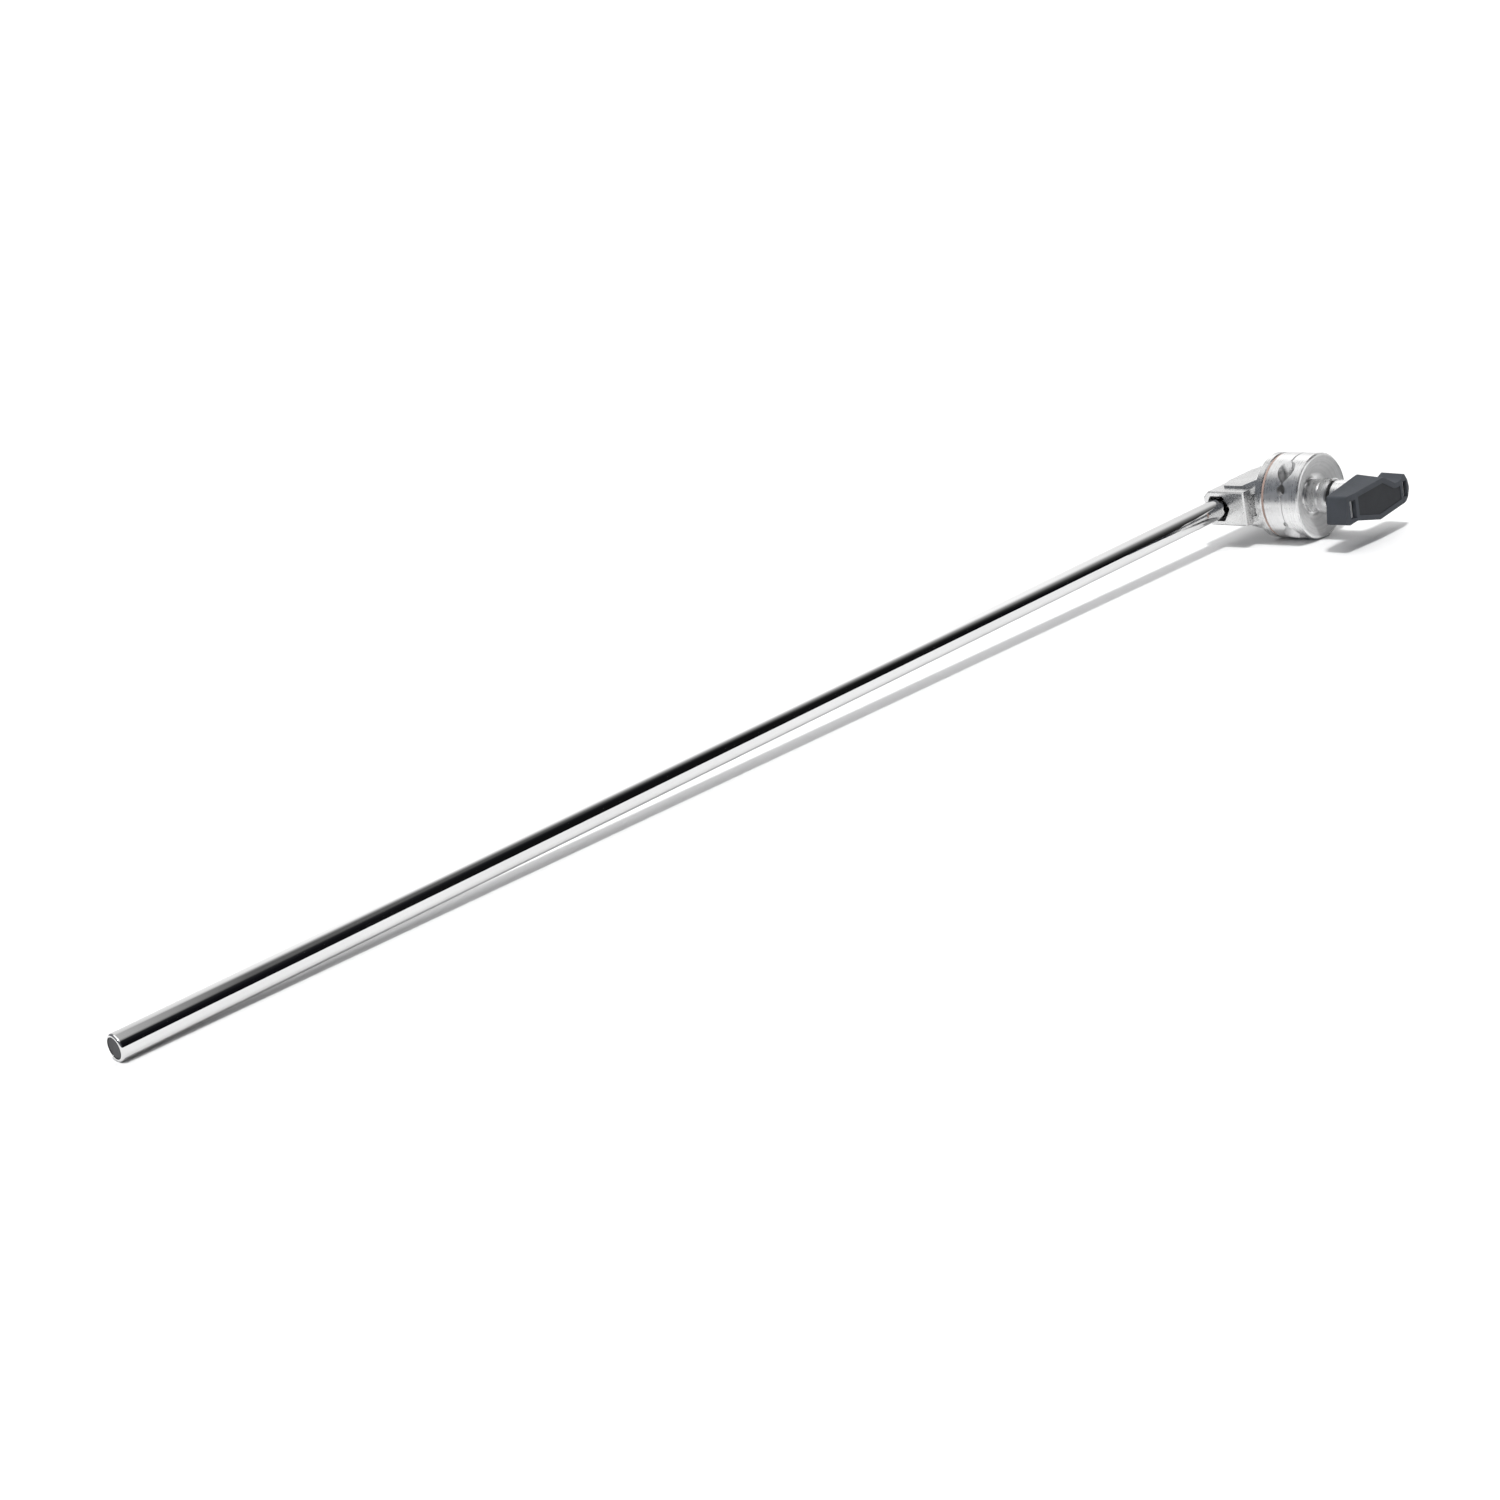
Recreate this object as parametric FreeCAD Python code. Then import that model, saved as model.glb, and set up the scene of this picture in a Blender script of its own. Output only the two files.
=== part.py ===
import FreeCAD, Part
import math
import os

# Grip arm: a 40 inch rod of 5/8 inch tube with a 2 1/2 inch clamping head at one end.
# Units are millimetres.
#
# Everything is modelled in the head's own frame and placed once, at the end:
#   X  along the rod, from its free end towards the head,
#   Y  up,
#   Z  along the head's axis, towards the handle; zero at the front jaw's rim.
# The arm lies on its side: the discs of the head and the rod's free end touch the floor.

V = FreeCAD.Vector
INCH = 25.4
X_AXIS = V(1, 0, 0)
Y_AXIS = V(0, 1, 0)
Z_AXIS = V(0, 0, 1)

# --- rod ---
rod_length = 40 * INCH
rod_radius = 5 / 8 * INCH / 2
rod_wall = 1.6
rod_end_round = 1.3
rod_past_axis = 16.0        # how far the rod reaches past the head's axis, inside the bracket
spigot_radius = 7.6         # turned-down end of the rod in the bracket's seat
end_plug_length = 14.0
end_plug_inset = 0.35
roll_pin_radius = 2.5
roll_pin_wall = 0.6
roll_pin_slot = 1.0
roll_pin_pitch = 18.0
roll_pin_start = 10.8       # from the bottom of the bracket's mouth to the first pin
roll_pin_cover = 3.0        # metal left above each blind pin hole

# --- head: discs ---
jaw_radius = 2.5 * INCH / 2
front_jaw_thickness = 14.5
rear_jaw_thickness = 15.6
jaw_gap = 0.3
seam_bevel = 0.5
front_rim_bevel = 1.6
rear_jaw_bevel = 0.8
dish_outer_radius = 29.6
dish_inner_radius = 13.2
dish_outer_depth = 0.5
dish_depth = 8.2
friction_disc_thickness = 1.6
friction_disc_inset = 0.7
face_gap = 0.05             # between faces that turn against each other

# --- head: channels for round stock, (stock diameter, offset from the head's axis) ---
upright_channels = ((5 / 8 * INCH, -19.6), (1 / 2 * INCH, 18.0))
level_channels = ((3 / 8 * INCH, 11.7), (1 / 4 * INCH, -14.8))
channel_bite = 1.2          # each jaw meets the stock this far before the jaws would close
channel_wall_angle = 60.0   # between a channel's flank and the seam

# --- stud and what runs on it ---
stud_radius = 3 / 8 * INCH / 2
thread_pitch = INCH / 16
handle_turns = 4
running_clearance = 0.05
seat_clearance = 0.01
stud_to_rod = 1.2           # metal between the stud's end and the rod
stud_flat = 3.9             # half the distance across the two flats
bush_wall = 1.5
rear_pocket_depth = 6.5
front_pocket_depth = 2.6
spring_wire = 1.1
spring_wire_sides = 8       # the wire's round section as a polygon
spring_coils = 3.5
spring_side_gap = 0.15
dowel_radius = 2.0
dowel_offset = 24.5
dowel_in_rear = 10.0
dowel_in_front = 8.0
dowel_end_gap = 0.5
cross_pin_radius = 1.5

# --- thrust bearing and collars ---
collar_radius = 12.3
collar_length = 10.4
collar_bevel = 0.6
cup_gap = 1.0               # groove left between collar and cup
cup_radius = 13.4
cup_length = 7.9
cup_bevel = 0.9
cup_skirt_wall = 1.8
rear_race_thickness = 1.4
front_race_thickness = 1.0
race_inset = 0.3
roller_radius = 1.0
roller_length = 3.6
roller_count = 16
cage_thickness = 1.4
cage_inner_radius = 6.4
cage_clearance = 0.06
seal_radius = 11.4
seal_length = 2.3

# --- handle ---
hub_radius = 12.2
hub_length = 17.6
hub_bevel = 0.8
hub_boss_radius = 10.6
hub_boss_flat = 8.6
grip_depth = 18.5           # along the head's axis, at the middle
grip_end_depth = 17.0       # the same, at the ends
grip_flat_half = 30.3       # half length of the flat part of the front
core_cover = 4.0            # grip wall around the metal core
core_back_cover = 3.0
core_thickness = 9.6
cap_border = 3.8
cap_thickness = 2.2
cap_recess = 0.4
cap_end_gap = 3.1           # from the panel's square ends to the sloping ends of the grip
window_width = 6.2
window_play = 0.7
windows = (                 # middle across, middle up, height
    (-33.8, 0.0, 13.8),
    (33.0, -2.6, 12.2),
)
window_insert_depth = 1.6
end_washer_radius = 7.6
end_washer_thickness = 1.4
end_ring_width = 1.7
end_ring_thickness = 1.1
end_ring_gap = 0.8          # opening of the ring, in parts of its inner diameter
ring_groove_depth = 0.7
stop_play = 0.25
hub_cavity_radius = 7.9

# --- bracket ---
plate_thickness = 9.0
plate_rim = 5.4             # cylindrical part of the plate's edge
plate_back_radius = 28.0
block_reach = 40.0          # from the head's axis to the end that takes the rod
block_tail = 30.0           # from the head's axis to the other end
block_height = 26.0
block_depth = 36.5
rod_to_block_back = 12.0
block_edge_bevel = 4.5
block_end_bevel = 1.0
mouth_depth = 12.0
mouth_across_flats = 19.2
mouth_corner_round = 2.0
pad_half_width = 28.0       # raised pad on the block's top and underside
pad_rise = 1.5
pad_reach = 25.0            # from the block's front, at the pad's sides
pad_point = 5.0             # how much further back the pad's middle goes
pad_point_half_width = 16.0
ramp_reach = 9.0            # from the block's front to where the pad starts to climb
ramp_rise = 6.0             # above the block's flat, where the ramp meets the plate's rim

# --- levels along the head's axis, from the handle back to the bracket ---
seam_front = -front_jaw_thickness
seam = seam_front - jaw_gap / 2
seam_rear = seam_front - jaw_gap
rear_jaw_back = seam_rear - rear_jaw_thickness
friction_front = rear_jaw_back - face_gap
plate_front = friction_front - friction_disc_thickness
plate_back = plate_front - plate_thickness
block_front = plate_back
block_back = block_front - block_depth
rod_level = block_back + rod_to_block_back
collar_back = -dish_depth
collar_front = collar_back + collar_length
cup_back = collar_front + cup_gap
cup_front = cup_back + cup_length
rear_race_front = collar_front + rear_race_thickness
roller_level = rear_race_front + roller_radius
front_race_back = roller_level + roller_radius
front_race_front = front_race_back + front_race_thickness
seal_front = cup_front + seal_length
hub_shoulder = seal_front + hub_length
grip_back = hub_shoulder
grip_front = grip_back + grip_depth
core_back = grip_back + core_back_cover
core_front = core_back + core_thickness
cap_front = grip_front - cap_recess
cap_back = cap_front - cap_thickness
handle_travel = handle_turns * thread_pitch
hub_boss_front = cap_back - stop_play
ring_front = hub_boss_front - stop_play - end_ring_thickness / 2
ring_back = ring_front - end_ring_thickness
washer_back = ring_back - end_washer_thickness
cavity_back = washer_back - handle_travel - stop_play
stud_front = ring_front + end_ring_thickness / 2
stud_back = rod_level + rod_radius + stud_to_rod

# --- radii that follow ---
bore_radius = stud_radius + running_clearance
bush_radius = bore_radius + bush_wall
pocket_radius = stud_radius + running_clearance + spring_wire + 2 * spring_side_gap
rod_bore_radius = rod_radius - rod_wall
cup_recess_radius = cup_radius - cup_skirt_wall
race_radius = cup_recess_radius - race_inset

# --- the arm's tilt: the rod's end drops until it meets the floor ---
rod_free_end = rod_past_axis - rod_length
contact_reach = -rod_free_end - rod_end_round
arm_tilt = (math.asin(jaw_radius / math.hypot(contact_reach, rod_radius))
            - math.atan2(rod_radius, contact_reach))

# Corners of the handle seen from the front, clockwise from the end over the rod: where
# each stands at the handle's back and at its front, and how much it is rounded.
grip_corners = (
    ((-42.0, -9.2), (-42.5, -9.2), 1.8),
    ((-39.0, 10.6), (-39.6, 11.0), 1.8),
    ((1.5, 16.7), (6.3, 13.4), 6.0),
    ((20.5, 7.6), (20.5, 5.2), 8.0),
    ((27.5, 7.9), (27.5, 5.2), 8.0),
    ((33.0, 10.1), (33.4, 9.6), 2.0),
    ((39.6, 3.2), (38.2, 3.4), 4.0),
    ((41.2, -3.2), (40.0, -3.0), 4.0),
    ((38.6, -9.6), (37.2, -9.2), 4.0),
    ((34.0, -12.6), (33.0, -12.0), 4.0),
    ((-1.0, -16.9), (-2.0, -15.9), 4.0),
    ((-29.4, -9.9), (-30.5, -8.9), 4.0),
    ((-37.2, -10.9), (-38.6, -10.2), 3.0),
)


def cylinder(radius, start, end, x=0.0, y=0.0):
    """Solid cylinder along the head's axis between two levels."""
    return Part.makeCylinder(radius, end - start, V(x, y, start), Z_AXIS)


def tube(radius, bore, start, end):
    return cylinder(radius, start, end).cut(cylinder(bore, start - 1, end + 1))


def turned(profile):
    """Solid of revolution about the head's axis from (radius, level) points."""
    points = [V(radius, 0, level) for radius, level in profile]
    face = Part.Face(Part.makePolygon(points + points[:1]))
    return face.revolve(V(0, 0, 0), Z_AXIS, 360)


def box(x, y, z):
    """Box from three (low, high) pairs."""
    size = [high - low for low, high in (x, y, z)]
    return Part.makeBox(*size, V(x[0], y[0], z[0]))


def prism(outline, axis, start, length):
    """Extrude a closed polygon of points lying in a plane."""
    points = [point + axis * start for point in outline]
    face = Part.Face(Part.makePolygon(points + points[:1]))
    return face.extrude(axis * length)


def rounded_wire(corners, roundings, level):
    """Closed wire through 2-D corners, each rounded, at one level of the head's axis."""
    edges = []
    starts, ends = [], []
    count = len(corners)
    for i, (corner, rounding) in enumerate(zip(corners, roundings)):
        here = V(*corner, level)
        back = (V(*corners[i - 1], level) - here).normalize()
        ahead = (V(*corners[(i + 1) % count], level) - here).normalize()
        half = back.getAngle(ahead) / 2
        setback = rounding / math.tan(half)
        centre = here + (back + ahead).normalize() * (rounding / math.sin(half))
        starts.append(here + back * setback)
        ends.append(here + ahead * setback)
        middle = centre + (here - centre).normalize() * rounding
        edges.append(Part.Arc(starts[-1], middle, ends[-1]).toShape())
    for i in range(count):
        edges.append(Part.LineSegment(ends[i], starts[(i + 1) % count]).toShape())
    return Part.Wire(Part.__sortEdges__(edges))


def grip_wire(level, side):
    """The handle's outline: side 0 is its back, side 1 its front."""
    corners = [corner[side] for corner in grip_corners]
    return rounded_wire(corners, [corner[2] for corner in grip_corners], level)


def inner_face(level, inward):
    """Flat face inside the handle's front outline, a distance from it."""
    return Part.Face(grip_wire(level, 1)).makeOffset2D(-inward)


def bevelled(solid, size, keep):
    """Bevel the edges of a solid that a test picks."""
    return solid.makeChamfer(size, [edge for edge in solid.Edges if keep(edge)])


def at_level(level):
    """Test for edges that lie flat at one level of the head's axis."""
    return lambda edge: (abs(edge.BoundBox.ZMin - level) < 1e-4
                         and abs(edge.BoundBox.ZMax - level) < 1e-4)


def rod_cylinder(radius, start, end):
    """Cylinder on the rod's axis between two places along the rod."""
    return Part.makeCylinder(radius, end - start, V(start, 0, rod_level), X_AXIS)


# ---------------------------------------------------------------- arm

mouth_floor = -block_reach + mouth_depth
roll_pin_places = [mouth_floor + roll_pin_start + roll_pin_pitch * step for step in (0, 1)]


def roll_pin_hole(place):
    """Blind hole for a roll pin, up through the bracket's underside and the rod."""
    top = block_height / 2 - roll_pin_cover
    bottom = -block_height / 2 - ramp_rise
    return Part.makeCylinder(roll_pin_radius, top - bottom, V(place, bottom, rod_level), Y_AXIS)


def arm_rod():
    free_end = rod_free_end
    outer = rod_cylinder(rod_radius, free_end, mouth_floor)
    outer = outer.makeFillet(rod_end_round, [
        edge for edge in outer.Edges
        if edge.BoundBox.XMax < free_end + 1e-3 and edge.BoundBox.YLength > rod_radius])
    spigot = rod_cylinder(spigot_radius, mouth_floor, rod_past_axis)
    rod = outer.fuse(spigot)
    rod = rod.cut(rod_cylinder(rod_bore_radius, free_end - 1, rod_past_axis + 1))
    for place in roll_pin_places:
        rod = rod.cut(roll_pin_hole(place))
    return rod.removeSplitter()


def rod_end_plug():
    start = rod_free_end + end_plug_inset
    plug = rod_cylinder(rod_bore_radius, start, start + end_plug_length)
    return bevelled(plug, end_plug_inset, lambda edge: edge.BoundBox.XLength < 1e-3)


def rod_roll_pins():
    pins = []
    for place in roll_pin_places:
        top = block_height / 2 - roll_pin_cover
        length = block_height - roll_pin_cover - face_gap
        base = V(place, top - length, rod_level)
        pin = Part.makeCylinder(roll_pin_radius, length, base, Y_AXIS)
        pin = pin.cut(Part.makeCylinder(roll_pin_radius - roll_pin_wall, length, base, Y_AXIS))
        slot = box((place - roll_pin_slot / 2, place + roll_pin_slot / 2),
                   (base.y, top), (rod_level, rod_level + 2 * roll_pin_radius))
        pins.append(pin.cut(slot))
    return Part.makeCompound(pins)


def ramped_pad():
    """Raised pads on the block's two flats, which climb to the rim of the plate."""
    half = block_height / 2
    sunk = half - block_edge_bevel
    back, tip = block_front - pad_reach, block_front - pad_reach - pad_point
    rim_back = plate_front - plate_rim
    outline = [V(-pad_half_width, 0, plate_front), V(-pad_half_width, 0, back),
               V(-pad_point_half_width, 0, tip), V(pad_point_half_width, 0, tip),
               V(pad_half_width, 0, back), V(pad_half_width, 0, plate_front)]
    pad = prism(outline, Y_AXIS, sunk, half + ramp_rise - sunk)
    top = half + pad_rise
    profile = [V(0, sunk, rim_back), V(0, half + ramp_rise, rim_back),
               V(0, top, block_front - ramp_reach), V(0, top, tip), V(0, sunk, tip)]
    upper = pad.common(prism(profile, X_AXIS, -block_reach, 2 * block_reach))
    upper = upper.common(cylinder(jaw_radius, block_back, plate_front))
    return upper.fuse(upper.mirror(V(0, 0, 0), Y_AXIS))


def hexagon_mouth():
    """Six-sided recess in the block's end, with corners towards and away from the head."""
    corner = mouth_across_flats / 2 / math.cos(math.radians(30))
    start = -block_reach
    points = []
    for step in range(6):
        angle = math.radians(60 * step)
        points.append(V(0, corner * math.sin(angle), rod_level + corner * math.cos(angle)))
    mouth = prism(points, X_AXIS, start - 1, mouth_depth + 1)
    return mouth.makeFillet(mouth_corner_round, [
        edge for edge in mouth.Edges if edge.BoundBox.XLength > mouth_depth])


def arm_bracket():
    half = block_height / 2
    block = box((-block_reach, block_tail), (-half, half), (block_back, block_front))
    block = bevelled(block, block_edge_bevel, lambda edge: (
        edge.BoundBox.XLength > block_reach and edge.CenterOfMass.z < rod_level))
    block = bevelled(block, block_end_bevel, lambda edge: edge.BoundBox.XLength < 1e-3)
    taper_start = plate_front - plate_rim
    plate = turned(((0, plate_front), (jaw_radius - rear_jaw_bevel, plate_front),
                    (jaw_radius, plate_front - rear_jaw_bevel), (jaw_radius, taper_start),
                    (plate_back_radius, plate_back), (0, plate_back)))
    body = block.fuse([plate, ramped_pad()])
    body = body.cut(hexagon_mouth())
    body = body.cut(rod_cylinder(spigot_radius, mouth_floor - 1, rod_past_axis))
    body = body.cut(cylinder(stud_radius, stud_back, plate_front + 1))
    body = body.cut(cross_pin_hole())
    for place in roll_pin_places:
        body = body.cut(roll_pin_hole(place))
    return body.removeSplitter()


cross_pin_level = (stud_back + plate_back) / 2
cross_pin_top = stud_radius + 3 * cross_pin_radius


def cross_pin_hole():
    bottom = -block_height / 2 - ramp_rise
    return Part.makeCylinder(cross_pin_radius, cross_pin_top - bottom,
                             V(0, bottom, cross_pin_level), Y_AXIS)


def stud_cross_pin():
    bottom = -block_height / 2
    return Part.makeCylinder(cross_pin_radius, cross_pin_top - bottom,
                             V(0, bottom, cross_pin_level), Y_AXIS)


def stud():
    body = cylinder(stud_radius, stud_back, stud_front)
    body = bevelled(body, ring_groove_depth / 2, at_level(stud_front))
    flat_start = collar_back - 2 * face_gap
    flat_end = collar_front + handle_travel + 2 * face_gap
    reach = 2 * stud_radius
    for low, high in ((stud_flat, reach), (-reach, -stud_flat)):
        body = body.cut(box((-reach, reach), (low, high), (flat_start, flat_end)))
    groove = tube(reach, stud_radius - ring_groove_depth, ring_back - seat_clearance,
                  ring_front + seat_clearance)
    return body.cut(groove).cut(cross_pin_hole())


def friction_disc():
    return tube(jaw_radius - friction_disc_inset, bush_radius, plate_front, friction_front)


def stud_end_washer():
    return tube(end_washer_radius, stud_radius, washer_back, ring_back)


def stud_end_ring():
    inner = stud_radius - ring_groove_depth
    ring = tube(stud_radius + end_ring_width, inner, ring_back, ring_front)
    reach = 2 * stud_radius
    half_gap = end_ring_gap * inner
    return ring.cut(box((-half_gap, half_gap), (0, reach), (ring_back, ring_front)))


# ---------------------------------------------------------------- jaws

def channel(stock_diameter, offset, upright):
    """Cutter for a channel: a round bottom in each jaw, and straight flanks to the seam."""
    radius = stock_diameter / 2 - channel_bite
    angle = math.radians(channel_wall_angle)
    across, deep = radius * math.sin(angle), radius * math.cos(angle)
    half_width = radius / math.sin(angle)

    def point(side, depth):
        if upright:
            return V(offset + side, -2 * jaw_radius, seam + depth)
        return V(-2 * jaw_radius, offset + side, seam + depth)

    corners = [point(half_width, 0), point(across, deep), point(-across, deep),
               point(-half_width, 0), point(-across, -deep), point(across, -deep)]
    tops = {1: point(0, radius), 4: point(0, -radius)}
    edges = []
    for i, start in enumerate(corners):
        end = corners[(i + 1) % len(corners)]
        if i in tops:
            edges.append(Part.Arc(start, tops[i], end).toShape())
        else:
            edges.append(Part.LineSegment(start, end).toShape())
    run = (Y_AXIS if upright else X_AXIS) * (4 * jaw_radius)
    return Part.Face(Part.Wire(edges)).extrude(run)


def channels():
    cutters = [channel(diameter, offset, True) for diameter, offset in upright_channels]
    cutters += [channel(diameter, offset, False) for diameter, offset in level_channels]
    return cutters


def dowel_hole(side, start, end):
    return cylinder(dowel_radius + running_clearance, start, end, y=side * dowel_offset)


def rear_jaw():
    body = turned(((0, rear_jaw_back), (jaw_radius - rear_jaw_bevel, rear_jaw_back),
                   (jaw_radius, rear_jaw_back + rear_jaw_bevel),
                   (jaw_radius, seam_rear - seam_bevel), (jaw_radius - seam_bevel, seam_rear),
                   (0, seam_rear)))
    body = body.cut(channels())
    body = body.cut(cylinder(bush_radius, rear_jaw_back - 1, seam_rear - rear_pocket_depth))
    body = body.cut(cylinder(pocket_radius, seam_rear - rear_pocket_depth, seam_rear + 1))
    for side in (-1, 1):
        body = body.cut(cylinder(dowel_radius, seam_rear - dowel_in_rear, seam_rear + 1,
                                 y=side * dowel_offset))
    return body


def rear_jaw_bush():
    return tube(bush_radius, bore_radius, rear_jaw_back, seam_rear - rear_pocket_depth)


def jaw_dowels():
    pins = []
    for side in (-1, 1):
        pin = cylinder(dowel_radius, seam_rear - dowel_in_rear, seam_front + dowel_in_front,
                       y=side * dowel_offset)
        pins.append(bevelled(pin, seam_bevel, at_level(seam_front + dowel_in_front)))
    return Part.makeCompound(pins)


def jaw_spring():
    """Open-coiled compression spring that pushes the two jaws apart."""
    start = seam_rear - rear_pocket_depth + spring_wire
    end = seam_front + front_pocket_depth - spring_wire
    coil_radius = pocket_radius - spring_side_gap - spring_wire / 2
    helix = Part.makeHelix((end - start) / spring_coils, end - start, coil_radius)
    section = []
    for step in range(spring_wire_sides + 1):
        angle = 2 * math.pi * step / spring_wire_sides
        section.append(V(coil_radius + spring_wire / 2 * math.cos(angle), 0,
                         spring_wire / 2 * math.sin(angle)))
    spring = Part.Wire(helix.Edges).makePipeShell([Part.makePolygon(section)], True, True)
    spring.translate(V(0, 0, start))
    return spring


def front_jaw():
    body = turned(((0, seam_front), (jaw_radius - seam_bevel, seam_front),
                   (jaw_radius, seam_front + seam_bevel), (jaw_radius, -front_rim_bevel),
                   (jaw_radius - front_rim_bevel, 0), (dish_outer_radius, 0),
                   (dish_outer_radius, -dish_outer_depth), (dish_inner_radius, -dish_depth),
                   (0, -dish_depth)))
    body = body.cut(channels())
    body = body.cut(cylinder(pocket_radius, seam_front - 1, seam_front + front_pocket_depth))
    body = body.cut(cylinder(bush_radius, seam_front, 1))
    for side in (-1, 1):
        body = body.cut(dowel_hole(side, seam_front - 1,
                                   seam_front + dowel_in_front + dowel_end_gap))
    return body


def front_jaw_bush():
    return tube(bush_radius, bore_radius, seam_front + front_pocket_depth, -dish_depth)


# ---------------------------------------------------------------- collar and bearing

def keyed_bore(start, end):
    """Hole with two flats that slides along the flats of the stud."""
    flat = stud_flat + running_clearance
    hole = cylinder(bore_radius, start, end)
    return hole.common(box((-stud_radius * 2, stud_radius * 2), (-flat, flat), (start, end)))


def thrust_collar():
    body = cylinder(collar_radius, collar_back, collar_front)
    body = bevelled(body, collar_bevel, at_level(collar_front))
    return body.cut(keyed_bore(collar_back - 1, collar_front + 1))


def rear_race():
    return tube(race_radius, cage_inner_radius, collar_front, rear_race_front)


def rollers(radius, length):
    """Ring of rollers, each pointing at the head's axis."""
    middle = (cage_inner_radius + race_radius) / 2
    found = []
    for step in range(roller_count):
        angle = 2 * math.pi * step / roller_count
        out = V(math.cos(angle), math.sin(angle), 0)
        base = out * (middle - length / 2) + Z_AXIS * roller_level
        found.append(Part.makeCylinder(radius, length, base, out))
    return found


def roller_cage():
    ring = tube(race_radius, cage_inner_radius, roller_level - cage_thickness / 2,
                roller_level + cage_thickness / 2)
    return ring.cut(rollers(roller_radius + cage_clearance, roller_length + 2 * cage_clearance))


def bearing_rollers():
    return Part.makeCompound(rollers(roller_radius, roller_length))


def front_race():
    return tube(race_radius, cage_inner_radius, front_race_back, front_race_front)


def thrust_cup():
    body = cylinder(cup_radius, cup_back, cup_front)
    for level in (cup_back, cup_front):
        body = bevelled(body, cup_bevel, at_level(level))
    body = body.cut(cylinder(cup_recess_radius, cup_back - 1, front_race_front))
    return body.cut(cylinder(bore_radius, cup_back, cup_front + 1))


def seal_ring():
    return tube(seal_radius, bore_radius, cup_front, seal_front)


# ---------------------------------------------------------------- handle

def hub_boss(start, end):
    """Round boss with two flats, which turns the handle's core with it."""
    boss = cylinder(hub_boss_radius, start, end)
    flats = (-hub_boss_flat, hub_boss_flat)
    return boss.common(box((-hub_boss_radius, hub_boss_radius), flats, (start, end)))


def handle_hub():
    body = cylinder(hub_radius, seal_front, hub_shoulder)
    body = bevelled(body, hub_bevel, at_level(seal_front))
    body = body.fuse(hub_boss(hub_shoulder, hub_boss_front))
    body = body.cut(cylinder(bore_radius, seal_front - 1, hub_boss_front))
    return body.cut(cylinder(hub_cavity_radius, cavity_back, hub_boss_front + 1))


def window_block(window, play, start, end):
    """Block that fills one of the grip's two windows, less some play all round."""
    across, up, height = window
    half_width = window_width / 2 - play
    half_height = height / 2 - play
    return box((across - half_width, across + half_width), (up - half_height, up + half_height),
               (start, end))


def core_block():
    return inner_face(core_back, core_cover).extrude(V(0, 0, core_thickness))


def handle_core():
    body = core_block()
    for window in windows:
        body = body.fuse(window_block(window, window_play, core_back,
                                      grip_back + grip_end_depth - window_insert_depth))
    return body.cut(hub_boss(core_back - 1, core_front + 1)).removeSplitter()


def grip_block():
    """Outer form of the grip: drafted sides, and a front that falls away at both ends."""
    body = Part.makeLoft([grip_wire(grip_back, 0), grip_wire(grip_front, 1)], True, True)
    low, high = body.BoundBox.XMin - 1, body.BoundBox.XMax + 1
    end_front = grip_back + grip_end_depth
    side = [V(low, 0, grip_back), V(low, 0, end_front), V(-grip_flat_half, 0, grip_front),
            V(grip_flat_half, 0, grip_front), V(high, 0, end_front), V(high, 0, grip_back)]
    reach = 2 * jaw_radius
    return body.common(prism(side, Y_AXIS, -reach, 2 * reach)).removeSplitter()


def cap_face(level, inward):
    """Outline of the front panel: the grip's outline, cut square short of the windows."""
    face = inner_face(level, inward)
    reach = 2 * jaw_radius
    half = grip_flat_half - cap_end_gap - (inward - cap_border)
    keep = Part.makePlane(2 * half, 2 * reach, V(-half, -reach, level))
    return face.common(keep)


def handle_grip():
    body = grip_block()
    body = body.cut(core_block())
    body = body.cut(hub_boss(grip_back - 1, core_back + 1))
    body = body.cut(cylinder(hub_radius, core_front - 1, cap_back + 1))
    body = body.cut(cap_face(cap_back, cap_border).extrude(V(0, 0, cap_thickness + 1)))
    for window in windows:
        body = body.cut(window_block(window, 0.0, core_back, grip_front + 1))
    return body.removeSplitter()


def handle_cap():
    return cap_face(cap_back, cap_border + seat_clearance).extrude(V(0, 0, cap_thickness))


# ---------------------------------------------------------------- assembly

TILTED = (arm_rod, rod_end_plug, rod_roll_pins, arm_bracket, stud_cross_pin, stud,
          friction_disc, stud_end_washer, stud_end_ring, thrust_collar)
LEVEL = (rear_jaw, rear_jaw_bush, jaw_dowels, jaw_spring, front_jaw, front_jaw_bush,
         rear_race, roller_cage, bearing_rollers, front_race, thrust_cup, seal_ring,
         handle_hub, handle_core, handle_grip, handle_cap)

tilt_sine, tilt_cosine = math.sin(arm_tilt), math.cos(arm_tilt)
far_left = ((rod_free_end + rod_end_round) * tilt_cosine
            - (rod_radius - rod_end_round) * tilt_sine - rod_end_round)
far_right = grip_block().BoundBox.XMax

# Where the head's axis and rim stand in the finished part, whose origin is the middle
# of its footprint.
head_place = V(-(far_left + far_right) / 2, (block_back + grip_front) / 2, jaw_radius)


def place(shape, tilted):
    """Turn a piece from the head's frame to the part's: Z up, handle towards -Y."""
    shape = shape.copy()
    if tilted:
        shape.rotate(V(0, 0, 0), Z_AXIS, math.degrees(arm_tilt))
    shape.rotate(V(0, 0, 0), X_AXIS, 90)
    shape.translate(head_place)
    return shape


def main():
    os.makedirs("parts", exist_ok=True)
    for tilted, makers in ((True, TILTED), (False, LEVEL)):
        for make in makers:
            place(make(), tilted).exportStep("parts/" + make.__name__ + ".step")


main()
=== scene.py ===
import math

import bpy
from mathutils import Matrix, Vector


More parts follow.
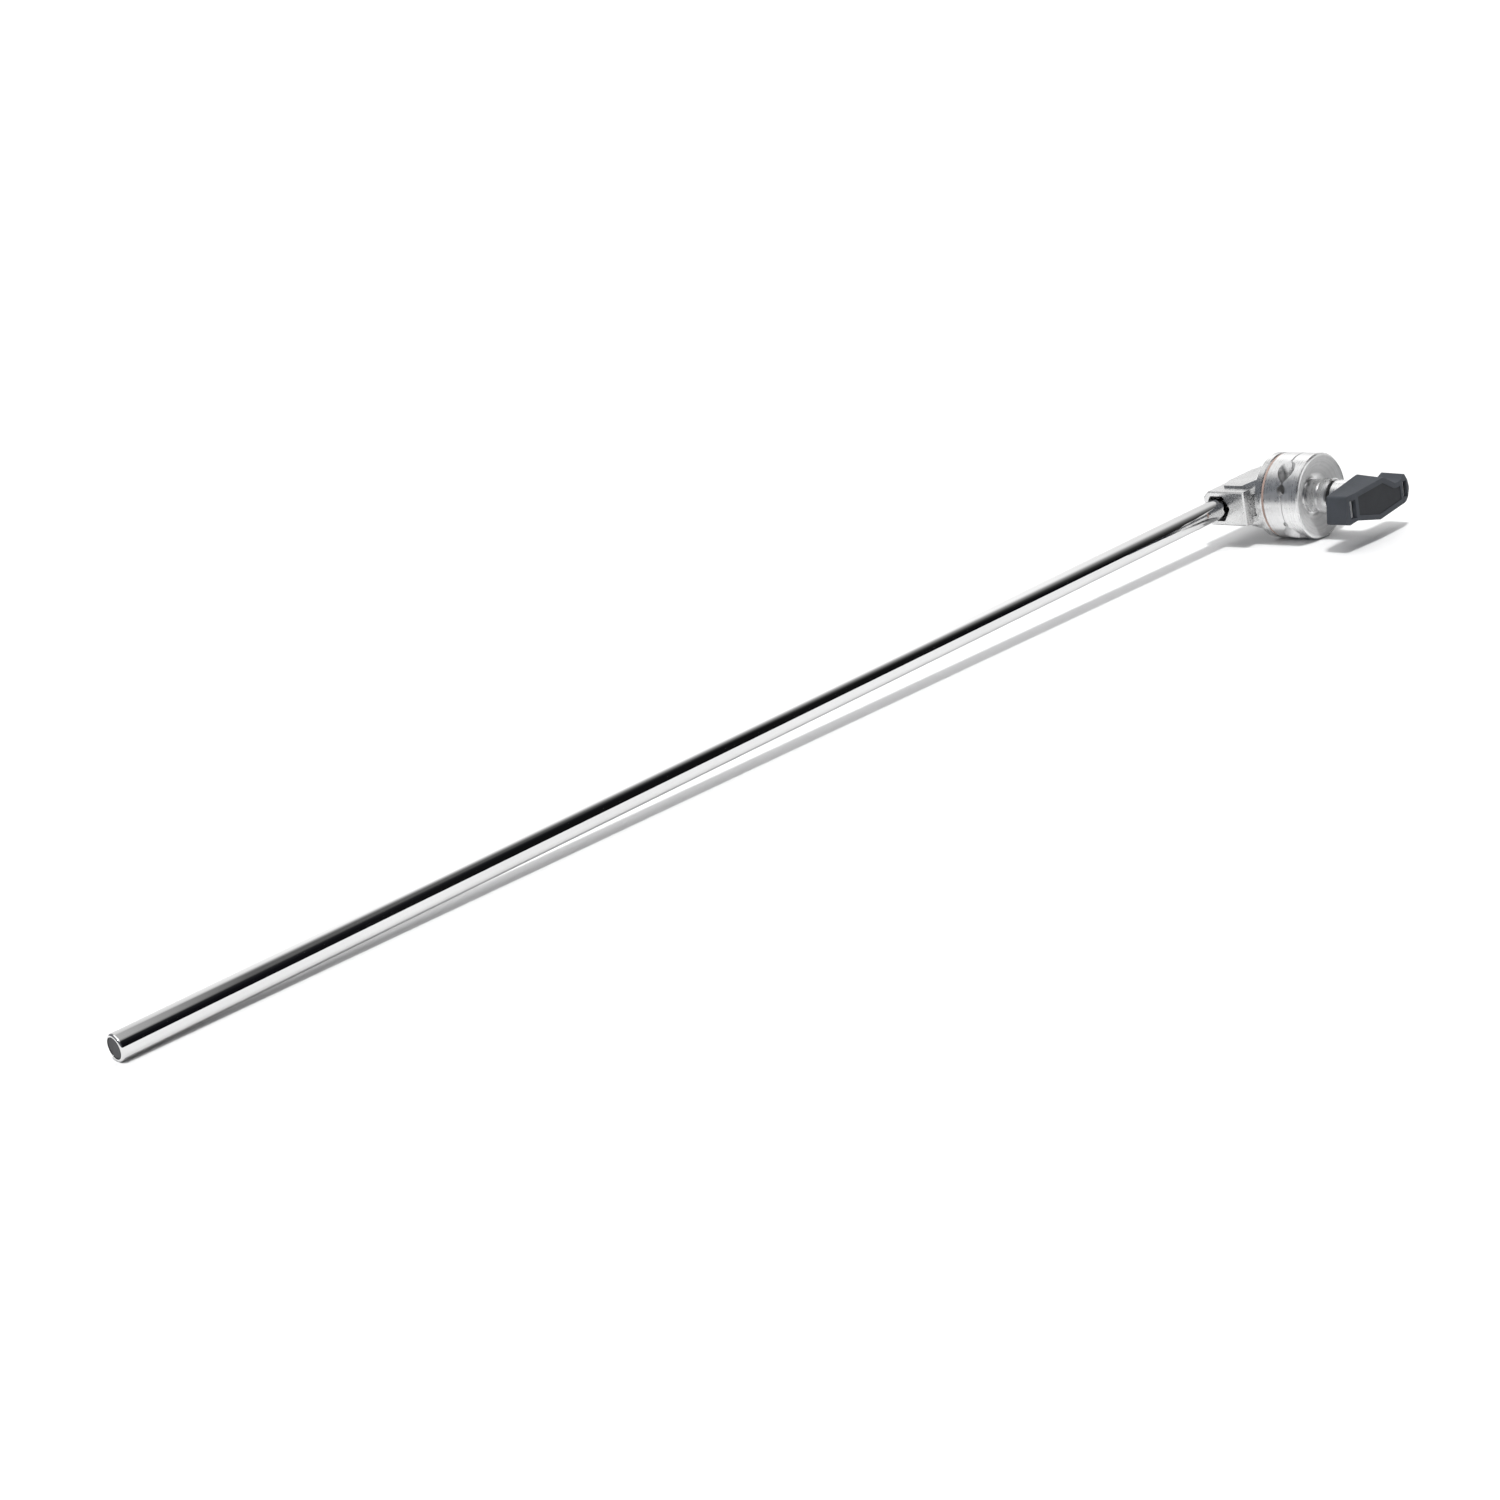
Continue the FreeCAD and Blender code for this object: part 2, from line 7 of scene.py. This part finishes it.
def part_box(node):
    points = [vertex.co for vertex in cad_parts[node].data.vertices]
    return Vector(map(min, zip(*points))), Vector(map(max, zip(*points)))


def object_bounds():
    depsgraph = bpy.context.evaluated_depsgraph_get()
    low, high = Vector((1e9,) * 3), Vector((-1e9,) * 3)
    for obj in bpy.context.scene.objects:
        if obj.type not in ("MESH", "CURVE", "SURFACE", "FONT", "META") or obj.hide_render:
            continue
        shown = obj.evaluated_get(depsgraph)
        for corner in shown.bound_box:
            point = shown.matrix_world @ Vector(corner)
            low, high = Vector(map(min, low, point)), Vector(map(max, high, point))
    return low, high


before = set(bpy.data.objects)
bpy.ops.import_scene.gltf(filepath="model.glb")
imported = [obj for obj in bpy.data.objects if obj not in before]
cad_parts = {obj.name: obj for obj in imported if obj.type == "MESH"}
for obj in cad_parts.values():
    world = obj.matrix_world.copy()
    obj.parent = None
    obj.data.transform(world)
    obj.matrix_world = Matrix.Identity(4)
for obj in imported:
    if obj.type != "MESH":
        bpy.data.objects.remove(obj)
cad_low, cad_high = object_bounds()

MM = 0.001

# ---------------------------------------------------------------- places, from the frame

jaw_low, jaw_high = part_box("front_jaw")
JAW_RADIUS = (jaw_high.z - jaw_low.z) / 2
RIM_CENTRE = Vector(((jaw_low.x + jaw_high.x) / 2, jaw_low.y, (jaw_low.z + jaw_high.z) / 2))

# ---------------------------------------------------------------- camera

CAMERA_AZIMUTH = -54.8          # degrees, 0 looks along +Y
CAMERA_ELEVATION = 13.3
CAMERA_ROLL = -6.79
CAMERA_DISTANCE = 1.931         # metres from the front rim's middle
LENS = 60.94 * MM
SENSOR = 36 * MM
RIM_RIGHT = 0.3814              # the front rim's middle, in parts of the frame's width
RIM_ABOVE = 0.1695              # from the middle of the frame
NEAR_CLIP = 0.01                # metres
FAR_CLIP = 50


def add_camera():
    """Camera that sees the front rim's middle at the right place of the frame."""
    azimuth, elevation = math.radians(CAMERA_AZIMUTH), math.radians(CAMERA_ELEVATION)
    back = Vector((math.sin(azimuth) * math.cos(elevation),
                   -math.cos(azimuth) * math.cos(elevation), math.sin(elevation)))
    to_rim = Vector((RIM_RIGHT * SENSOR, RIM_ABOVE * SENSOR, -LENS)).normalized()
    level = (-back).to_track_quat("-Z", "Y")
    swing = Vector((0, 0, -1)).rotation_difference(to_rim)
    roll = Matrix.Rotation(math.radians(CAMERA_ROLL), 3, to_rim).to_quaternion()
    camera = bpy.data.objects.new("camera", bpy.data.cameras.new("camera"))
    bpy.context.scene.collection.objects.link(camera)
    camera.rotation_mode = "QUATERNION"
    camera.rotation_quaternion = level @ (roll @ swing).inverted()
    camera.location = RIM_CENTRE + back * CAMERA_DISTANCE
    camera.data.sensor_width = SENSOR / MM
    camera.data.lens = LENS / MM
    camera.data.clip_start = NEAR_CLIP
    camera.data.clip_end = FAR_CLIP
    bpy.context.scene.camera = camera


# ---------------------------------------------------------------- node helpers

def grey(value):
    return (value, value, value)


def grey_stops(*stops):
    """Stops of a ramp, each given by its position and its brightness."""
    return [(position, grey(brightness)) for position, brightness in stops]


class Nodes:
    """The shader nodes of one material or of the world."""

    def __init__(self, owner, shader, space):
        owner.use_nodes = True
        self.tree = owner.node_tree
        self.shader = self.tree.nodes[shader]
        self.place = self.add("ShaderNodeTexCoord").outputs[space]

    def add(self, kind, **values):
        node = self.tree.nodes.new(kind)
        for name, value in values.items():
            setattr(node, name, value)
        return node

    def link(self, output, socket):
        self.tree.links.new(output, socket)

    def feed(self, socket, output):
        """Link an output to a socket of the shader."""
        self.link(output, self.shader.inputs[socket])

    def ramp(self, value, stops):
        """Colour that goes through the stops as the value rises."""
        node = self.add("ShaderNodeValToRGB")
        elements = node.color_ramp.elements
        while len(elements) < len(stops):
            elements.new(0.5)
        for element, (position, colour) in zip(elements, stops):
            element.position = position
            element.color = (*colour, 1)
        self.link(value, node.inputs["Fac"])
        return node.outputs["Color"]

    def remap(self, value, source, target):
        """Carry a value from the source range to the target range, and hold it inside."""
        node = self.add("ShaderNodeMapRange")
        names = ("From Min", "From Max", "To Min", "To Max")
        for name, number in zip(names, (*source, *target)):
            node.inputs[name].default_value = number
        self.link(value, node.inputs["Value"])
        return node.outputs["Result"]

    def math(self, operation, *values):
        """Sum, product or the like of outputs and plain numbers."""
        node = self.add("ShaderNodeMath", operation=operation)
        for socket, value in zip(node.inputs, values):
            if isinstance(value, (int, float)):
                socket.default_value = value
            else:
                self.link(value, socket)
        return node.outputs["Value"]

    def blend(self, first, second, share):
        """Mean of two values, with the given share of the first."""
        return self.math("ADD", self.math("MULTIPLY", first, share),
                         self.math("MULTIPLY", second, 1 - share))


class Finish(Nodes):
    """The nodes of one procedural material."""

    def __init__(self, name):
        self.material = bpy.data.materials.new(name)
        super().__init__(self.material, "Principled BSDF", "Object")

    def set(self, **values):
        """Set sockets of the shader that are the same all over the surface."""
        for name, value in values.items():
            self.shader.inputs[name.replace("_", " ")].default_value = value

    def noise(self, scale, detail, roughness, stretch=(1, 1, 1), place=None):
        mapping = self.add("ShaderNodeMapping")
        mapping.inputs["Scale"].default_value = stretch
        self.link(place or self.place, mapping.inputs["Vector"])
        node = self.add("ShaderNodeTexNoise")
        node.inputs["Scale"].default_value = scale
        node.inputs["Detail"].default_value = detail
        node.inputs["Roughness"].default_value = roughness
        self.link(mapping.outputs["Vector"], node.inputs["Vector"])
        return node.outputs["Fac"]

    def bump(self, height, strength, distance):
        node = self.add("ShaderNodeBump")
        node.inputs["Strength"].default_value = strength
        node.inputs["Distance"].default_value = distance
        self.link(height, node.inputs["Height"])
        self.feed("Normal", node.outputs["Normal"])

    def head_place(self):
        """Distance from the head's axis, and level along it."""
        split = self.add("ShaderNodeSeparateXYZ")
        self.link(self.place, split.inputs["Vector"])
        across = self.math("SUBTRACT", split.outputs["X"], RIM_CENTRE.x)
        up = self.math("SUBTRACT", split.outputs["Z"], RIM_CENTRE.z)
        squared = self.math("ADD", self.math("MULTIPLY", across, across),
                            self.math("MULTIPLY", up, up))
        return self.math("SQRT", squared), split.outputs["Y"]


# ---------------------------------------------------------------- materials

RIM_WIDTH = 0.8 * MM            # from the rim's outer edge to the dish's finish
RIM_FADE = 0.8 * MM             # over which the one finish turns into the other
DISH_REACH = 6.0 * MM           # how far behind the rim the dish's finish holds
DISH_FADE = 1.5 * MM


def dish_share(nodes, radius, level):
    """1 in the dish of the front jaw, 0 on the sides of the jaws."""
    dish_radius = JAW_RADIUS - RIM_WIDTH
    dish_back = RIM_CENTRE.y + DISH_REACH
    inside = nodes.remap(radius, (dish_radius - RIM_FADE, dish_radius), (1.0, 0.0))
    front = nodes.remap(level, (dish_back, dish_back + DISH_FADE), (1.0, 0.0))
    return nodes.math("MULTIPLY", inside, front)


def turned_metal(name, colour, roughness, line_depth, dish_roughness=None):
    """Metal cut on a lathe: rings about the head's axis, patchy where the tool rubbed.

    The dish of the front jaw may be duller than its sides.
    """
    nodes = Finish(name)
    radius, level = nodes.head_place()
    combine = nodes.add("ShaderNodeCombineXYZ")
    nodes.link(radius, combine.inputs["X"])
    nodes.link(level, combine.inputs["Y"])
    profile = combine.outputs["Vector"]
    fine_rings = nodes.noise(scale=2600, detail=4, roughness=0.6, place=profile)
    wide_rings = nodes.noise(scale=820, detail=3, roughness=0.6, place=profile)
    patches = nodes.noise(scale=240, detail=5, roughness=0.7)
    clouds = nodes.noise(scale=38, detail=4, roughness=0.6)
    rings = nodes.blend(fine_rings, wide_rings, share=0.35)
    marks = nodes.blend(rings, patches, share=0.6)
    darker = [part * 0.80 for part in colour]
    nodes.feed("Base Color", nodes.ramp(marks, ((0.36, darker), (0.60, colour))))
    rough = nodes.math("ADD",
                       nodes.remap(marks, (0.38, 0.62), (roughness - 0.08, roughness + 0.10)),
                       nodes.remap(clouds, (0.3, 0.7), (-0.04, 0.05)))
    if dish_roughness is not None:
        duller = nodes.math("MULTIPLY", dish_share(nodes, radius, level),
                            dish_roughness - roughness)
        rough = nodes.math("ADD", rough, duller)
    nodes.feed("Roughness", rough)
    nodes.set(Metallic=1.0)
    nodes.bump(marks, strength=0.45, distance=line_depth)
    return nodes.material


def cast_metal(name):
    """Polished aluminium casting: soft waves, fine sanding and small pits."""
    nodes = Finish(name)
    waves = nodes.noise(scale=60, detail=3, roughness=0.55)
    sanding = nodes.noise(scale=900, detail=4, roughness=0.65, stretch=(0.25, 1, 1))
    pits = nodes.noise(scale=1500, detail=2, roughness=0.5)
    nodes.feed("Base Color", nodes.ramp(waves, grey_stops((0.3, 0.60), (0.7, 0.73))))
    nodes.feed("Roughness", nodes.math("ADD", nodes.remap(sanding, (0.3, 0.7), (0.16, 0.34)),
                                       nodes.remap(pits, (0.62, 0.74), (0.0, 0.16))))
    nodes.set(Metallic=1.0)
    height = nodes.math("ADD", waves, nodes.math("MULTIPLY", sanding, 0.12))
    nodes.bump(height, strength=0.5, distance=0.35 * MM)
    return nodes.material


def chrome(name):
    """Chromed tube: near mirror, with hair-fine rub marks along it and faint smears."""
    nodes = Finish(name)
    smears = nodes.noise(scale=30, detail=4, roughness=0.6, stretch=(0.3, 1, 1))
    hairs = nodes.noise(scale=2500, detail=2, roughness=0.5, stretch=(0.02, 1, 1))
    nodes.feed("Base Color", nodes.ramp(smears, grey_stops((0.3, 0.68), (0.7, 0.74))))
    nodes.feed("Roughness", nodes.math("ADD", nodes.remap(smears, (0.35, 0.7), (0.03, 0.09)),
                                       nodes.remap(hairs, (0.4, 0.7), (0.0, 0.03))))
    nodes.set(Metallic=1.0)
    nodes.bump(smears, strength=0.05, distance=0.1 * MM)
    return nodes.material


def moulded(name, colour, roughness, grain_depth):
    """Matte moulded rubber or plastic: a fine grain, and a little lighter in clouds."""
    nodes = Finish(name)
    grain = nodes.noise(scale=1800, detail=3, roughness=0.6)
    clouds = nodes.noise(scale=55, detail=4, roughness=0.6)
    lighter = [part * 1.25 for part in colour]
    nodes.feed("Base Color", nodes.ramp(clouds, ((0.35, colour), (0.7, lighter))))
    nodes.feed("Roughness", nodes.remap(grain, (0.3, 0.7), (roughness - 0.06, roughness + 0.08)))
    nodes.set(Specular_IOR_Level=0.15)
    nodes.bump(grain, strength=0.4, distance=grain_depth)
    return nodes.material


def steel(name, brightness, roughness):
    """Plain steel part with faint brushing."""
    nodes = Finish(name)
    grain = nodes.noise(scale=1400, detail=3, roughness=0.6, stretch=(1, 0.1, 1))
    clouds = nodes.noise(scale=90, detail=3, roughness=0.5)
    nodes.feed("Base Color", nodes.ramp(clouds, grey_stops((0.3, brightness * 0.9),
                                                           (0.7, brightness))))
    nodes.feed("Roughness", nodes.remap(grain, (0.3, 0.7), (roughness - 0.06, roughness + 0.1)))
    nodes.set(Metallic=1.0)
    nodes.bump(grain, strength=0.3, distance=0.02 * MM)
    return nodes.material


def friction_fibre(name):
    """Pink-brown pressed fibre of the friction disc."""
    nodes = Finish(name)
    fibres = nodes.noise(scale=1300, detail=4, roughness=0.7)
    nodes.feed("Base Color", nodes.ramp(fibres, ((0.3, (0.36, 0.24, 0.20)),
                                                 (0.7, (0.52, 0.39, 0.34)))))
    nodes.feed("Roughness", nodes.remap(fibres, (0.3, 0.7), (0.4, 0.65)))
    nodes.bump(fibres, strength=0.4, distance=0.05 * MM)
    return nodes.material


def finish_pieces():
    """Give each piece of the construction its finish."""
    jaw = turned_metal("jaw_metal", grey(0.84), roughness=0.31, line_depth=0.12 * MM,
                       dish_roughness=0.75)
    ring = turned_metal("collar_metal", grey(0.92), roughness=0.27, line_depth=0.05 * MM)
    bronze = turned_metal("bronze_metal", (0.66, 0.45, 0.22), roughness=0.35,
                          line_depth=0.02 * MM)
    plain = steel("plain_steel", brightness=0.78, roughness=0.28)
    insert = steel("insert_steel", brightness=0.92, roughness=0.50)
    dark = steel("spring_steel", brightness=0.35, roughness=0.35)
    grip = moulded("grip_rubber", (0.056, 0.061, 0.070), roughness=0.62, grain_depth=0.04 * MM)
    panel = moulded("panel_plastic", (0.022, 0.024, 0.028), roughness=0.5,
                    grain_depth=0.05 * MM)
    seal = moulded("seal_black", (0.015, 0.015, 0.016), roughness=0.5, grain_depth=0.02 * MM)
    plug = moulded("plug_plastic", (0.045, 0.045, 0.05), roughness=0.4, grain_depth=0.02 * MM)
    finishes = {
        "arm_rod": chrome("rod_chrome"), "rod_end_plug": plug, "rod_roll_pins": dark,
        "arm_bracket": cast_metal("bracket_metal"),
        "friction_disc": friction_fibre("friction_fibre"),
        "stud": plain, "stud_cross_pin": dark, "stud_end_washer": plain, "stud_end_ring": dark,
        "rear_jaw": jaw, "front_jaw": jaw, "rear_jaw_bush": bronze, "front_jaw_bush": bronze,
        "jaw_spring": dark, "jaw_dowels": dark,
        "thrust_collar": ring, "thrust_cup": ring, "seal_ring": seal,
        "rear_race": plain, "front_race": plain, "roller_cage": bronze, "bearing_rollers": plain,
        "handle_hub": ring, "handle_core": insert, "handle_grip": grip, "handle_cap": panel,
    }
    for name, material in finishes.items():
        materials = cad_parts[name].data.materials
        materials.clear()
        materials.append(material)


# ---------------------------------------------------------------- edges

EDGE_ROUNDS = {                 # how far in from each sharp edge its rounding starts
    "arm_bracket": 0.5 * MM, "rear_jaw": 0.2 * MM, "front_jaw": 0.25 * MM,
    "thrust_collar": 0.15 * MM, "thrust_cup": 0.2 * MM, "handle_hub": 0.2 * MM,
    "handle_grip": 1.6 * MM, "handle_cap": 0.35 * MM, "handle_core": 0.3 * MM,
}
ROUND_STEPS = 3
SHARP_ANGLE = 28                # degrees between faces, from which an edge counts as sharp


def soften_edges():
    """Round the sharp edges of the pieces that are seen up close."""
    for name, width in EDGE_ROUNDS.items():
        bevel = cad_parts[name].modifiers.new("edge_round", "BEVEL")
        bevel.width = width
        bevel.segments = ROUND_STEPS
        bevel.limit_method = "ANGLE"
        bevel.angle_limit = math.radians(SHARP_ANGLE)


# ---------------------------------------------------------------- studio

# Directions lead from the object. Stops and ranges are cosines of the angle from a direction,
# except in SIDE_STOPS, which run from 0 away from it to 1 toward it.
SWEEP_DIRECTION = Vector((0.817, 0.576, 0.0))
SWEEP_LEVEL = 1.5
SWEEP_STOPS = grey_stops((0.22, 0.005), (0.30, 0.04), (0.35, 0.11), (0.40, 0.19), (0.45, 0.30),
                         (0.49, 0.41), (0.55, 0.67), (0.61, 0.9), (0.70, 1.0))
SWEEP_END_STOPS = grey_stops((0.34, 0.5), (0.44, 0.8), (0.50, 1.0), (0.66, 1.0), (0.70, 0.85),
                             (0.76, 0.6))
CEILING_LEVEL = 1.4
CEILING_EDGE = (0.70, 0.84)
CEILING_DIMS = (0.27, 0.42)     # where the ceiling dims toward the head's end
CEILING_DIM_SHARE = 0.1
SIDE_DIRECTION = Vector((-0.817, 0.576, 0.0))    # toward the lighter side of the room
SIDE_STOPS = ((0.1, (0.006, 0.006, 0.008)), (0.85, (0.17, 0.18, 0.20)))
BACKDROP_LEVEL = 1.2

KEY_DIRECTION = Vector((-0.22, -0.26, 0.94))
KEY_WIDTH = 8.0                 # degrees across, as seen from the object
KEY_STRENGTH = 1.9

FLOOR_SIZE = 60                 # metres


class Studio(Nodes):
    """The room round the object: a bright sweep behind it, a soft ceiling and dark sides.

    The camera itself sees a plain pale backdrop all round.
    """

    def __init__(self):
        self.world = bpy.data.worlds.new("studio")
        super().__init__(self.world, "Background", "Generated")

    def toward(self, direction):
        """Cosine of the angle between a ray and a direction."""
        node = self.add("ShaderNodeVectorMath", operation="DOT_PRODUCT")
        self.link(self.place, node.inputs[0])
        node.inputs[1].default_value = direction
        return node.outputs["Value"]

    def sweep(self, along):
        """Bright band that ends softly below, above and along the rod."""
        band = self.ramp(self.toward(SWEEP_DIRECTION), SWEEP_STOPS)
        ends = self.ramp(along, SWEEP_END_STOPS)
        return self.math("MULTIPLY", self.math("MULTIPLY", band, ends), SWEEP_LEVEL)

    def ceiling(self, along):
        overhead = self.remap(self.toward((0, 0, 1)), CEILING_EDGE, (0.0, CEILING_LEVEL))
        return self.math("MULTIPLY", overhead,
                         self.remap(along, CEILING_DIMS, (1.0, CEILING_DIM_SHARE)))

    def sides(self):
        return self.ramp(self.remap(self.toward(SIDE_DIRECTION), (-1.0, 1.0), (0.0, 1.0)),
                         SIDE_STOPS)

    def light(self):
        """Put the room round the object."""
        along = self.toward((1, 0, 0))
        room = self.add("ShaderNodeVectorMath", operation="MAXIMUM")
        self.link(self.sides(), room.inputs[0])
        self.link(self.math("MAXIMUM", self.sweep(along), self.ceiling(along)), room.inputs[1])
        seen = self.add("ShaderNodeMix", data_type="RGBA")
        self.link(self.add("ShaderNodeLightPath").outputs["Is Camera Ray"], seen.inputs["Factor"])
        self.link(room.outputs["Vector"], seen.inputs["A"])
        seen.inputs["B"].default_value = (*grey(BACKDROP_LEVEL), 1)
        self.feed("Color", seen.outputs["Result"])
        bpy.context.scene.world = self.world


def add_floor():
    """Plain pale floor at the level on which the arm lies."""
    bpy.ops.mesh.primitive_plane_add(size=FLOOR_SIZE, location=(0, 0, 0))
    floor = bpy.context.object
    floor.name = "floor"
    nodes = Finish("floor_white")
    nodes.set(Base_Color=(*grey(0.93), 1), Roughness=0.9, Specular_IOR_Level=0.0)
    floor.data.materials.append(nodes.material)


def add_key_light():
    """Soft light from almost straight above. Only its direction counts, as it is a sun."""
    light = bpy.data.objects.new("key_light", bpy.data.lights.new("key_light", "SUN"))
    bpy.context.scene.collection.objects.link(light)
    light.data.energy = KEY_STRENGTH
    light.data.angle = math.radians(KEY_WIDTH)
    light.location = cad_high + KEY_DIRECTION
    light.rotation_mode = "QUATERNION"
    light.rotation_quaternion = (-KEY_DIRECTION).to_track_quat("-Z", "Y")


def add_studio():
    Studio().light()
    add_floor()
    add_key_light()
    bpy.context.scene.view_settings.view_transform = "Standard"


finish_pieces()
soften_edges()
add_camera()
add_studio()
